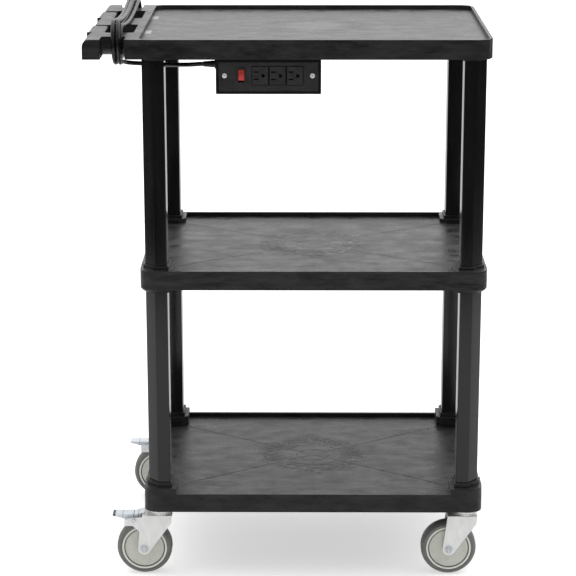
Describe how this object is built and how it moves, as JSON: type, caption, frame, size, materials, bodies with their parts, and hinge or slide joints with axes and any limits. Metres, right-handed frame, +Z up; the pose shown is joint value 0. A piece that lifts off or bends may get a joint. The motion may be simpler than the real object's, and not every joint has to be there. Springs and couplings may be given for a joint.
{
  "type": "utility cart",
  "caption": "Utility cart with lipped tray shelves on square legs, a grip moulded into the top shelf, an outlet strip with a wound mains cord, and swivel casters with brake pedals.",
  "frame": {"origin": "on the floor, under the middle of the cart's outline with its grip", "axes": "+Z up, -X towards the grip, -Y towards the side with the outlets, +X to the right as seen from there"},
  "size_m": [0.7002, 0.4672, 1.0091],
  "materials": {
    "shelf": "fine-grained charcoal moulded plastic",
    "leg": "glossy black moulded plastic",
    "steel": "charcoal powder coat",
    "outlet": "black moulded plastic",
    "red": "red moulded plastic",
    "zinc": "bright zinc plate on steel",
    "tyre": "grey thermoplastic rubber",
    "hub": "warm grey moulded plastic",
    "cord": "smooth black cord jacket"
  },
  "bodies": {
    "cart": {"top_shelf": "shelf", "middle_shelf": "shelf", "bottom_shelf": "shelf", "upper_leg_front_left": "leg", "lower_leg_front_left": "leg", "upper_leg_front_right": "leg", "lower_leg_front_right": "leg", "upper_leg_rear_left": "leg", "lower_leg_rear_left": "leg", "upper_leg_rear_right": "leg", "lower_leg_rear_right": "leg", "strip_housing": "steel", "strip_faceplate": "steel", "outlet_1": "outlet", "outlet_2": "outlet", "outlet_3": "outlet", "switch_bezel": "outlet", "faceplate_screw_left": "zinc", "strip_screw_left": "zinc", "faceplate_screw_right": "zinc", "strip_screw_right": "zinc", "strip_strain_relief": "cord", "power_cord_lead": "cord", "power_cord_hank": "cord", "power_cord_tail": "cord", "power_plug": "cord", "front_left_stem": "zinc", "front_right_stem": "zinc", "rear_left_stem": "zinc", "rear_right_stem": "zinc"},
    "front_left_fork": {"front_left_yoke": "zinc", "front_left_axle": "zinc", "front_left_pedal_pin": "zinc"},
    "front_left_wheel": {"front_left_hub": "hub", "front_left_tyre": "tyre"},
    "front_left_pedal": {"front_left_brake_pedal": "zinc"},
    "front_right_fork": {"front_right_yoke": "zinc", "front_right_axle": "zinc"},
    "front_right_wheel": {"front_right_hub": "hub", "front_right_tyre": "tyre"},
    "rear_left_fork": {"rear_left_yoke": "zinc", "rear_left_axle": "zinc", "rear_left_pedal_pin": "zinc"},
    "rear_left_wheel": {"rear_left_hub": "hub", "rear_left_tyre": "tyre"},
    "rear_left_pedal": {"rear_left_brake_pedal": "zinc"},
    "rear_right_fork": {"rear_right_yoke": "zinc", "rear_right_axle": "zinc"},
    "rear_right_wheel": {"rear_right_hub": "hub", "rear_right_tyre": "tyre"},
    "rocker": {"switch_rocker": "red"}
  },
  "joints": [
    {"name": "front_left_swivel", "type": "hinge", "parent": "cart", "child": "front_left_fork", "pos_m": [-0.2314, -0.1991, 0.115], "axis": [0, 0, 1], "continuous": true},
    {"name": "front_left_spin", "type": "hinge", "parent": "front_left_fork", "child": "front_left_wheel", "pos_m": [-0.2614, -0.1991, 0.05], "axis": [0, 1, 0], "continuous": true},
    {"name": "front_left_brake", "type": "hinge", "parent": "front_left_fork", "child": "front_left_pedal", "pos_m": [-0.2794, -0.1991, 0.1045], "axis": [0, -1, 0], "range_deg": [0, 10]},
    {"name": "front_right_swivel", "type": "hinge", "parent": "cart", "child": "front_right_fork", "pos_m": [0.3221, -0.1991, 0.115], "axis": [0, 0, 1], "continuous": true},
    {"name": "front_right_spin", "type": "hinge", "parent": "front_right_fork", "child": "front_right_wheel", "pos_m": [0.2921, -0.1991, 0.05], "axis": [0, 1, 0], "continuous": true},
    {"name": "rear_left_swivel", "type": "hinge", "parent": "cart", "child": "rear_left_fork", "pos_m": [-0.2314, 0.1991, 0.115], "axis": [0, 0, 1], "continuous": true},
    {"name": "rear_left_spin", "type": "hinge", "parent": "rear_left_fork", "child": "rear_left_wheel", "pos_m": [-0.2614, 0.1991, 0.05], "axis": [0, 1, 0], "continuous": true},
    {"name": "rear_left_brake", "type": "hinge", "parent": "rear_left_fork", "child": "rear_left_pedal", "pos_m": [-0.2794, 0.1991, 0.1045], "axis": [0, -1, 0], "range_deg": [0, 10]},
    {"name": "rear_right_swivel", "type": "hinge", "parent": "cart", "child": "rear_right_fork", "pos_m": [0.3221, 0.1991, 0.115], "axis": [0, 0, 1], "continuous": true},
    {"name": "rear_right_spin", "type": "hinge", "parent": "rear_right_fork", "child": "rear_right_wheel", "pos_m": [0.2921, 0.1991, 0.05], "axis": [0, 1, 0], "continuous": true},
    {"name": "switch_rock", "type": "hinge", "parent": "cart", "child": "rocker", "pos_m": [-0.07885, -0.2228, 0.91915], "axis": [1, 0, 0], "range_deg": [0, 16]}
  ]
}
